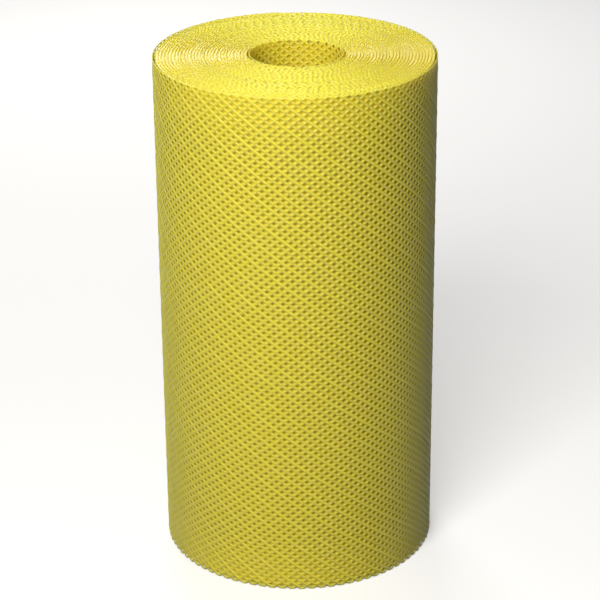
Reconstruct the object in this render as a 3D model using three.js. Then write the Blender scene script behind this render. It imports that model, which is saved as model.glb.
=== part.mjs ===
import * as THREE from 'three';

// Roll of plastic lath, standing on its end.
// Millimetres, +Z up. The origin is the middle of the bottom end.

// Driving dimensions
const LATH_WIDTH = 600;        // width of the lath, so the height of the standing roll
const OUTER_DIAMETER = 320;    // over the outermost turn
const BORE_DIAMETER = 104;     // clear hole inside the innermost turn
const TURN_PITCH = 3.6;        // from one turn to the next: the net and the air it traps
const TURN_STAGGER = 1.5;      // how far every other turn sits back at each end
const SIDES_ROUND = 40;        // flat facets round the roll

// Finish
const LATH_COLOUR = 0xe0cf45;  // translucent yellow polyethylene
const LATH_ROUGHNESS = 0.5;

// The turns that fit between the bore and the outside, counted from the outside in.
// The last one takes up what is left over, so it may be a little thicker than the rest.
const outerRadius = OUTER_DIAMETER / 2;
const boreRadius = BORE_DIAMETER / 2;
const turnCount = Math.round((outerRadius - boreRadius) / TURN_PITCH);

// Radius of the line between one turn and the next: 0 is the outside of the roll.
function turnEdge(turn) {
  return turn === turnCount ? boreRadius : outerRadius - turn * TURN_PITCH;
}

// How far a turn sits back from the end of the roll. The outermost turn is level with it.
function setBack(turn) {
  return (turn % 2) * TURN_STAGGER;
}

// Section of the roll: out along the bottom end, up the outside, in along the top end
// and down the bore. Each turn shows as one flat step at both ends.
function rollSection() {
  const points = [];
  for (let turn = turnCount - 1; turn >= 0; turn -= 1) {
    points.push(new THREE.Vector2(turnEdge(turn + 1), setBack(turn)));
    points.push(new THREE.Vector2(turnEdge(turn), setBack(turn)));
  }
  for (let turn = 0; turn < turnCount; turn += 1) {
    points.push(new THREE.Vector2(turnEdge(turn), LATH_WIDTH - setBack(turn)));
    points.push(new THREE.Vector2(turnEdge(turn + 1), LATH_WIDTH - setBack(turn)));
  }
  points.push(points[0].clone());
  return points;
}

// The lathe turns about +Y, so its axis is stood up along +Z.
function lathRoll() {
  const geometry = new THREE.LatheGeometry(rollSection(), SIDES_ROUND);
  geometry.rotateX(Math.PI / 2);
  const finish = new THREE.MeshStandardMaterial({
    color: LATH_COLOUR,
    roughness: LATH_ROUGHNESS,
    metalness: 0,
  });
  const mesh = new THREE.Mesh(geometry, finish);
  mesh.name = 'lath_roll';
  return mesh;
}

const part = new THREE.Group();
part.add(lathRoll());

export default part;
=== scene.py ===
"""Roll of plastic lath: a yellow diamond net of extruded strands, wound on itself."""
import math

import bmesh
import bpy
import numpy as np
from mathutils import Matrix, Vector


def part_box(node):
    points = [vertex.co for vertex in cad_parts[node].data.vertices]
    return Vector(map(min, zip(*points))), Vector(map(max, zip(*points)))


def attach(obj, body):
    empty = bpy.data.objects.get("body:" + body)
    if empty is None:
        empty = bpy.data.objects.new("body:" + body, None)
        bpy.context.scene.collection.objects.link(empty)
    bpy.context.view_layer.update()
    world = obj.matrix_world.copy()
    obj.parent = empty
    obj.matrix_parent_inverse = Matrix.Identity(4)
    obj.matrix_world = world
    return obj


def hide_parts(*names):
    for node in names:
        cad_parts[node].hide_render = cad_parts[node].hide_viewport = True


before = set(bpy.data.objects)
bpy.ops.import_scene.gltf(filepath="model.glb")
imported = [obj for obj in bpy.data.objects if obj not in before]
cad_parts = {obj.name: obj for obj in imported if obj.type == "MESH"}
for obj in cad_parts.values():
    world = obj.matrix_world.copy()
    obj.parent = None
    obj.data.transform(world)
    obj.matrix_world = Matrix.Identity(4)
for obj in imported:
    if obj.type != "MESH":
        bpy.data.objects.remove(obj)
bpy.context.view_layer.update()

TAU = 2 * math.pi

# Sizes of the roll, in metres
ROLL_LOW, ROLL_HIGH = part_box("lath_roll")
ROLL_HEIGHT = ROLL_HIGH.z - ROLL_LOW.z
OUTER_RADIUS = (ROLL_HIGH.x - ROLL_LOW.x) / 2
BORE_RADIUS = 0.052
TURN_PITCH = 0.0036
TURNS = round((OUTER_RADIUS - BORE_RADIUS) / TURN_PITCH)

# The net, laid flat: x runs along the lath, y out of it and z across its width
CELL_LENGTH = 0.01155
CELL_HEIGHT = 0.00905
COLUMN_LEAN = math.tan(math.radians(1.87))

# The strands: every third falling one is heavier and stands a little proud
HEAVY_EVERY = 3
STRAND_WIDTH = 0.0034
STRAND_THICKNESS = 0.0011
HEAVY_WIDTH = 0.0037
HEAVY_THICKNESS = 0.0014
FINE_SIDES = 8
PLAIN_SIDES = 4

# The webs of plastic that round off the corners where strands cross
WEB_LENGTH = 0.0058
WEB_HEIGHT = 0.0048
WEB_THICKNESS = 0.0012

# The free edges of the lath: the outer one at the back, the inner one at the front of the bore
FREE_EDGE_ANGLE = math.radians(96)
INNER_EDGE_TURN = TURNS + 0.5

# The outer turns lie closer together, and the whole spiral is set out to meet the roll's side
NESTED_TURNS = 2
NESTING = 0.0006
FIRST_LIFT = (TURN_PITCH - NESTING) / 2

# The stretches of real strands: one whole turn, the turn in the bore and a band at each end
WHOLE_TURNS = 1
END_CELLS = 0.6

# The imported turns: how far their slabs sit back at each end, and the parts they have round them
END_DEPTH = 0.0014
SLAB_STEP = 0.0002
PACKED_STEPS = 144

# Edges sharper than this stay crisp
SHARP_ANGLE = math.radians(80)

# Unevenness of the winding: size, wave length and lag of each wave
SLIP_WAVES = ((0.0050, 1.37, 0.4), (0.0030, 0.61, 2.1))
BULGE_WAVES = ((0.00025, 0.31, 1.0), (0.00015, 0.117, 0.3))
DRIFT_WAVES = ((0.0003, 0.83, 0.9), (0.0002, 0.29, 2.6))

# Room left for the drift at both ends of the roll
EDGE_DRIFT = 0.0006

# Finish
LATH_YELLOW = (0.90, 0.725, 0.035, 1)
LATH_PALE = (0.95, 0.78, 0.075, 1)
# Painted shade: the darker yellow between the painted strands of the hidden turns stands for the
# shade inside their holes
HOLE_SHADE_YELLOW = (0.53, 0.42, 0.008, 1)
ROUGHNESS_LOW = 0.42
ROUGHNESS_RISE = 0.15
BLOTCH_SCALE = 38
BLOTCH_DETAIL = 3
GRAIN_SCALE = 900
GRAIN_DETAIL = 2
GRAIN_RELIEF = 0.25
PACKED_RELIEF = 0.5
BUMP_DEPTH = 0.0004
SCATTER_DEPTH = 0.005
SCATTER_COLOUR = (1.0, 1.0, 0.25)

# The painted net: how far the strands fade out into the painted shade between them, and how deep
# the painted light comes in at the ends
NET_FADE = 0.6
LIT_END = 0.07
LIT_SHARE = 0.8

# Camera: the view that fits the roll's outline in the picture
CAMERA_BACK = 2.3428
CAMERA_HEIGHT = 1.3360
CAMERA_TILT = math.radians(23.914)
CAMERA_ROLL = math.radians(-0.51)
CAMERA_LENS = 130.97
CAMERA_SHIFT = 0.0037

# Light and surroundings
KEY_PLACE = (-0.58, -1.86, 1.8)
KEY_POWER = 75
BACK_PLACE = (-0.42, 2.36, 1.6)
BACK_POWER = 34
LAMP_SIZE = 1.2
LAMP_COLOUR = (1, 0.98, 0.94)
SURROUND_STRENGTH = 0.07
FLOOR_GREY = (0.6, 0.6, 0.6, 1)
FLOOR_GLOW = 0.42
FLOOR_REACH = 150


def line_radius(angle):
    """Radius of the middle of the net at the angle wound since the free edge."""
    skin = HEAVY_THICKNESS - STRAND_THICKNESS / 2
    return OUTER_RADIUS + FIRST_LIFT - skin - TURN_PITCH * angle / TAU


def winding_length(angle):
    """Length of lath in the winding, from the free edge to the angle wound since."""
    return line_radius(0) * angle - TURN_PITCH * angle * angle / (2 * TAU)


def wound_angle(length):
    """Angle wound when so much lath has gone in, the inverse of winding_length."""
    start = line_radius(0)
    root = np.sqrt(start * start - TURN_PITCH * length / math.pi)
    return (start - root) * TAU / TURN_PITCH


def turn_start(turn):
    """Length of lath before a turn, the outermost being turn 0."""
    return winding_length(turn * TAU)


def waver(length, waves):
    """A slow, uneven wandering along the lath, from a few waves of different lengths."""
    return sum(size * np.sin(TAU * length / wave + lag) for size, wave, lag in waves)


def wind(flat, looseness=1):
    """Rolls points of the flat lath up into the winding. The outermost turn is the evenest."""
    length = flat[:, 0]
    loose = looseness * np.clip(length / turn_start(1), 0, 1)
    angle = wound_angle(length + loose * waver(length, SLIP_WAVES))
    nested = np.interp(angle / TAU, (0, NESTED_TURNS, TURNS), (0, NESTED_TURNS * NESTING, 0))
    radius = line_radius(angle) + nested + flat[:, 1] + loose * waver(length, BULGE_WAVES)
    height = EDGE_DRIFT + flat[:, 2] * (1 - 2 * EDGE_DRIFT / ROLL_HEIGHT)
    height = height + loose * waver(length, DRIFT_WAVES)
    turned = FREE_EDGE_ANGLE + angle
    return np.column_stack((radius * np.cos(turned), radius * np.sin(turned), height))


def wind_evenly(flat):
    """Rolls them up with no unevenness at all."""
    return wind(flat, 0)


def strand(bm, start, step, steps, width, thickness, sides):
    """One closed strand, swept in even steps from its start. Its width lies in the net."""
    made = bmesh.ops.create_circle(bm, cap_ends=True, radius=0.5, segments=sides)
    ring = made["verts"]
    bmesh.ops.scale(bm, vec=(thickness, width, 1), verts=ring)
    turned = step.to_track_quat("Z", "Y").to_matrix()
    bmesh.ops.rotate(bm, cent=(0, 0, 0), matrix=turned, verts=ring)
    bmesh.ops.translate(bm, vec=start, verts=ring)
    bmesh.ops.spin(
        bm, geom=ring[0].link_faces[:], cent=(0, 0, 0), axis=(0, 0, 1), dvec=step,
        angle=0, steps=steps, use_duplicate=False,
    )


def repeat_along(bm, offset, count):
    """Repeats everything in the mesh, doubling it until there are enough copies."""
    unit = len(bm.faces)
    made = 1
    while made < count:
        more = min(made, count - made)
        faces = list(bm.faces)[: unit * more]
        copies = bmesh.ops.duplicate(bm, geom=faces)["geom"]
        verts = [item for item in copies if isinstance(item, bmesh.types.BMVert)]
        bmesh.ops.translate(bm, vec=offset * made, verts=verts)
        made += more


def cut(bm, point, normal):
    """Cuts off what lies beyond a plane and closes the cut ends."""
    geom = bm.verts[:] + bm.edges[:] + bm.faces[:]
    done = bmesh.ops.bisect_plane(
        bm, geom=geom, plane_co=point, plane_no=normal, clear_outer=True)
    edges = [item for item in done["geom_cut"] if isinstance(item, bmesh.types.BMEdge)]
    bmesh.ops.holes_fill(bm, edges=edges, sides=0)


def trim(bm, along, across):
    """Cuts the net to the stretch of the lath that it belongs to."""
    cut(bm, (along[0], 0, 0), (-1, 0, 0))
    cut(bm, (along[1], 0, 0), (1, 0, 0))
    cut(bm, (0, 0, across[0]), (0, 0, -1))
    cut(bm, (0, 0, across[1]), (0, 0, 1))


def finished(name, bm, shape):
    """Winds the flat mesh and makes the object, with each point's flat place for its material."""
    bmesh.ops.recalc_face_normals(bm, faces=bm.faces[:])
    # Winding mirrors the mesh, so its faces are turned round first
    bmesh.ops.reverse_faces(bm, faces=bm.faces[:])
    mesh = bpy.data.meshes.new(name)
    bm.to_mesh(mesh)
    bm.free()
    places = np.empty(len(mesh.vertices) * 3, dtype=np.float32)
    mesh.vertices.foreach_get("co", places)
    flat = mesh.attributes.new("flat_place", "FLOAT_VECTOR", "POINT")
    flat.data.foreach_set("vector", places)
    wound = shape(places.reshape(-1, 3).astype(float))
    mesh.vertices.foreach_set("co", wound.ravel().astype(np.float32))
    mesh.shade_smooth()
    mesh.set_sharp_from_angle(angle=SHARP_ANGLE)
    mesh.update()
    piece = bpy.data.objects.new(name, mesh)
    bpy.context.scene.collection.objects.link(piece)
    return piece


def family(name, slant, along, across, sides, has_heavy):
    """One family of strands, rising or falling along the lath by its slant."""
    bm = bmesh.new()
    run = slant * CELL_LENGTH - COLUMN_LEAN * CELL_HEIGHT
    step = Vector((run, 0, CELL_HEIGHT))
    low = across[0] - CELL_HEIGHT
    steps = math.ceil((across[1] - low) / CELL_HEIGHT) + 1
    reach = run * steps
    begin = along[0] - max(reach, 0)
    end = along[1] - min(reach, 0)
    foot = low * run / CELL_HEIGHT
    group = CELL_LENGTH * HEAVY_EVERY
    first_group = math.floor((begin - foot) / group)
    groups = math.ceil((end - foot) / group) - first_group
    for place in range(HEAVY_EVERY):
        heavy = has_heavy and place == 0
        width = HEAVY_WIDTH if heavy else STRAND_WIDTH
        thickness = HEAVY_THICKNESS if heavy else STRAND_THICKNESS
        outward = (thickness - STRAND_THICKNESS) / 2
        start = Vector((first_group * group + place * CELL_LENGTH + foot, outward, low))
        strand(bm, start, step, steps, width, thickness, sides)
    repeat_along(bm, Vector((group, 0, 0)), groups)
    trim(bm, along, across)
    return finished(name, bm, wind)


def net(name, along, across, sides):
    """Both families of strands over a stretch of the lath."""
    return [
        family(name + "_falling_strands", -1, along, across, sides, True),
        family(name + "_rising_strands", 1, along, across, sides, False),
    ]


def crossings(name, along, across):
    """The fused crossings of the strands, as flat webs that fill the corners."""
    bm = bmesh.new()
    lean = -COLUMN_LEAN * CELL_HEIGHT
    for half in (0, 0.5):
        made = bmesh.ops.create_uvsphere(bm, u_segments=4, v_segments=2, radius=0.5)
        size = (WEB_LENGTH, WEB_THICKNESS, WEB_HEIGHT)
        bmesh.ops.scale(bm, vec=size, verts=made["verts"])
        place = ((CELL_LENGTH + lean) * half, 0, CELL_HEIGHT * half)
        bmesh.ops.translate(bm, vec=place, verts=made["verts"])
    rows = round((across[1] - across[0]) / CELL_HEIGHT)
    repeat_along(bm, Vector((lean, 0, CELL_HEIGHT)), rows)
    first_column = CELL_LENGTH * math.ceil(along[0] / CELL_LENGTH)
    bmesh.ops.translate(bm, vec=(first_column, 0, 0), verts=bm.verts)
    columns = math.ceil((along[1] - along[0] - lean * rows) / CELL_LENGTH)
    repeat_along(bm, Vector((CELL_LENGTH, 0, 0)), columns)
    trim(bm, along, across)
    return finished(name, bm, wind)


def lath_pieces():
    """Every stretch of the lath whose strands are real."""
    whole = (0, ROLL_HEIGHT)
    band = END_CELLS * CELL_HEIGHT
    first = (turn_start(0), turn_start(WHOLE_TURNS))
    bore = (turn_start(INNER_EDGE_TURN - 1), turn_start(INNER_EDGE_TURN))
    between = (first[1], bore[0])
    return [
        *net("outer_turn", first, whole, FINE_SIDES),
        crossings("outer_turn_crossings", first, whole),
        *net("bore_turn", bore, whole, PLAIN_SIDES),
        *net("top_end", between, (ROLL_HEIGHT - band, ROLL_HEIGHT), PLAIN_SIDES),
        *net("bottom_end", between, (0, band), PLAIN_SIDES),
    ]


def packed(name, first_turn, outward, inward, depth):
    """Turns hidden behind the strands in front of them, as one turn of a thick slab."""
    bm = bmesh.new()
    begin = turn_start(first_turn)
    length = turn_start(first_turn + 1) - begin
    bmesh.ops.create_cube(bm, size=1)
    long_edges = [edge for edge in bm.edges if edge.verts[0].co.x != edge.verts[1].co.x]
    bmesh.ops.subdivide_edges(
        bm, edges=long_edges, cuts=PACKED_STEPS - 1, use_grid_fill=True)
    size = (length, outward - inward, ROLL_HEIGHT - 2 * depth)
    bmesh.ops.scale(bm, vec=size, verts=bm.verts)
    middle = (begin + length / 2, (outward + inward) / 2, ROLL_HEIGHT / 2)
    bmesh.ops.translate(bm, vec=middle, verts=bm.verts)
    return finished(name, bm, wind_evenly)


def packed_turns():
    """The turns between the outer one and the bore, in two slabs that meet midway."""
    face = STRAND_THICKNESS / 2
    half = (INNER_EDGE_TURN - WHOLE_TURNS) / 2 * TURN_PITCH
    behind_bore = INNER_EDGE_TURN - 2
    return [
        packed("packed_outer_turns", WHOLE_TURNS, face, -half, END_DEPTH),
        packed("packed_inner_turns", behind_bore, half, -face, END_DEPTH + SLAB_STEP),
    ]


class Value:
    """A shader socket that takes part in Python expressions."""

    def __init__(self, paint, socket):
        self.paint = paint
        self.socket = socket

    def _math(self, operation, *inputs):
        return self.paint.node(
            "ShaderNodeMath", {"operation": operation}, dict(enumerate(inputs)))

    def __add__(self, other):
        return self._math("ADD", self, other)

    def __sub__(self, other):
        return self._math("SUBTRACT", self, other)

    def __rsub__(self, other):
        return self._math("SUBTRACT", other, self)

    def __mul__(self, other):
        return self._math("MULTIPLY", self, other)

    def __truediv__(self, other):
        return self._math("DIVIDE", self, other)

    def __abs__(self):
        return self._math("ABSOLUTE", self)

    __radd__ = __add__
    __rmul__ = __mul__

    def fraction(self):
        """What is left over the whole number below."""
        return self._math("FRACT", self)

    def smaller(self, other):
        """The smaller of two values."""
        return self._math("MINIMUM", self, other)


class Paint:
    """A material's node tree, built by short calls."""

    def __init__(self, name):
        self.material = bpy.data.materials.new(name)
        self.material.use_nodes = True
        self.tree = self.material.node_tree
        self.tree.nodes.clear()

    def node(self, kind, settings, inputs, output=0):
        """Adds a node. Its inputs are values or links, by the socket's name or number."""
        made = self.tree.nodes.new(kind)
        for key, value in settings.items():
            setattr(made, key, value)
        for key, value in inputs.items():
            if isinstance(value, Value):
                self.tree.links.new(value.socket, made.inputs[key])
            else:
                made.inputs[key].default_value = value
        return Value(self, made.outputs[output]) if made.outputs else None

    def mix(self, factor, first, second):
        """Blends two colours, from the first at 0 to the second at 1."""
        # Inputs 6 and 7 and output 2 are the colours of a Mix node
        inputs = {"Factor": factor, 6: first, 7: second}
        return self.node("ShaderNodeMix", {"data_type": "RGBA"}, inputs, output=2)

    def fade(self, value, none, full):
        """A soft ramp from 0 where the value is none to 1 where it is full."""
        inputs = {"Value": value, "From Min": none, "From Max": full}
        return self.node(
            "ShaderNodeMapRange", {"interpolation_type": "SMOOTHSTEP"}, inputs)

    def noise(self, place, scale, detail):
        """Even noise over the flat lath."""
        inputs = {"Vector": place, "Scale": scale, "Detail": detail}
        return self.node("ShaderNodeTexNoise", {}, inputs)

    def flat_place(self):
        """Where on the flat lath a point of the surface was."""
        return self.node("ShaderNodeAttribute", {"attribute_name": "flat_place"}, {}, output=1)

    def polyethylene(self, colour, height, relief):
        """The translucent plastic itself, a little rougher where it stands higher."""
        bump = {"Strength": relief, "Distance": BUMP_DEPTH, "Height": height}
        surface = {
            "Base Color": colour,
            "Normal": self.node("ShaderNodeBump", {}, bump),
            "Roughness": height * ROUGHNESS_RISE + ROUGHNESS_LOW,
            "Specular IOR Level": 0.3,
            "Subsurface Weight": 1.0,
            "Subsurface Scale": SCATTER_DEPTH,
            "Subsurface Radius": SCATTER_COLOUR,
        }
        shader = self.node("ShaderNodeBsdfPrincipled", {}, surface)
        self.node("ShaderNodeOutputMaterial", {}, {"Surface": shader})
        return self.material


def lath_plastic():
    """Translucent yellow polyethylene, a little blotchy, with the faint grain of its drawing."""
    paint = Paint("lath_plastic")
    place = paint.flat_place()
    blotch = paint.noise(place, BLOTCH_SCALE, BLOTCH_DETAIL)
    grain = paint.noise(place, GRAIN_SCALE, GRAIN_DETAIL)
    colour = paint.mix(blotch, LATH_YELLOW, LATH_PALE)
    return paint.polyethylene(colour, grain, GRAIN_RELIEF)


def packed_plastic():
    """The hidden turns: the same net as a pattern, with shade painted between its strands where
    the holes would look into the shaded turns behind.
    """
    paint = Paint("packed_plastic")
    place = paint.flat_place()
    along, outward, across = (
        paint.node("ShaderNodeSeparateXYZ", {}, {0: place}, output=axis) for axis in range(3))
    column = (along + across * COLUMN_LEAN) / CELL_LENGTH
    row = (across + outward) / CELL_HEIGHT
    rising = abs((column - row).fraction() - 0.5) * 2
    falling = abs((column + row).fraction() - 0.5) * 2
    strands = 1 - paint.fade(rising.smaller(falling), 0, NET_FADE)
    # Light comes in between the turns at both ends, so the net is paler there
    half = ROLL_HEIGHT / 2
    lit = paint.fade(abs(across - half), half - LIT_END, half)
    # Painted shade: between the painted strands the colour darkens to stand for the shade inside
    # the holes
    deep = paint.mix(strands, HOLE_SHADE_YELLOW, LATH_YELLOW)
    colour = paint.mix(lit * LIT_SHARE, deep, LATH_YELLOW)
    return paint.polyethylene(colour, strands, PACKED_RELIEF)


def floor_paint():
    """A plain pale floor, a little bright of itself so that it stays pale far from the lamps."""
    paint = Paint("floor_paint")
    surface = {
        "Base Color": FLOOR_GREY,
        "Roughness": 0.9,
        "Emission Color": (1, 1, 1, 1),
        "Emission Strength": FLOOR_GLOW,
    }
    shader = paint.node("ShaderNodeBsdfPrincipled", {}, surface)
    paint.node("ShaderNodeOutputMaterial", {}, {"Surface": shader})
    return paint.material


def place_camera():
    """Looks at the roll from the front and above."""
    data = bpy.data.cameras.new("camera")
    data.lens = CAMERA_LENS
    data.sensor_width = 36
    data.shift_x = CAMERA_SHIFT
    camera = bpy.data.objects.new("camera", data)
    bpy.context.scene.collection.objects.link(camera)
    camera.matrix_world = (
        Matrix.Translation((0, -CAMERA_BACK, CAMERA_HEIGHT))
        @ Matrix.Rotation(math.pi / 2 - CAMERA_TILT, 4, "X")
        @ Matrix.Rotation(CAMERA_ROLL, 4, "Z")
    )
    bpy.context.scene.camera = camera


def soft_light(name, place, power):
    """A square soft light that faces the middle of the roll."""
    data = bpy.data.lights.new(name, "AREA")
    data.size = LAMP_SIZE
    data.energy = power
    data.color = LAMP_COLOUR
    lamp = bpy.data.objects.new(name, data)
    lamp.location = place
    target = Vector((0, 0, ROLL_HEIGHT / 2))
    lamp.rotation_euler = (target - Vector(place)).to_track_quat("-Z", "Y").to_euler()
    bpy.context.scene.collection.objects.link(lamp)


def lay_floor():
    """The floor. It throws no light back, so the roll's far side stays as deep as it is."""
    bm = bmesh.new()
    bmesh.ops.create_grid(bm, x_segments=1, y_segments=1, size=FLOOR_REACH)
    mesh = bpy.data.meshes.new("floor")
    bm.to_mesh(mesh)
    bm.free()
    mesh.materials.append(floor_paint())
    floor = bpy.data.objects.new("floor", mesh)
    floor.visible_diffuse = False
    bpy.context.scene.collection.objects.link(floor)


def light_studio():
    """One key light from the front left, one behind for the back, and a dim surround."""
    soft_light("key", KEY_PLACE, KEY_POWER)
    soft_light("back", BACK_PLACE, BACK_POWER)
    world = bpy.data.worlds.new("surround")
    world.use_nodes = True
    background = world.node_tree.nodes["Background"]
    background.inputs["Color"].default_value = (1, 1, 1, 1)
    background.inputs["Strength"].default_value = SURROUND_STRENGTH
    bpy.context.scene.world = world
    bpy.context.scene.view_settings.view_transform = "Standard"


def dress(pieces, finish):
    """Gives the pieces their finish and lets them stand for the solid."""
    for piece in pieces:
        piece.data.materials.append(finish)
        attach(piece, "root")
        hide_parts("lath_roll")


place_camera()
lay_floor()
light_studio()
dress(lath_pieces(), lath_plastic())
dress(packed_turns(), packed_plastic())
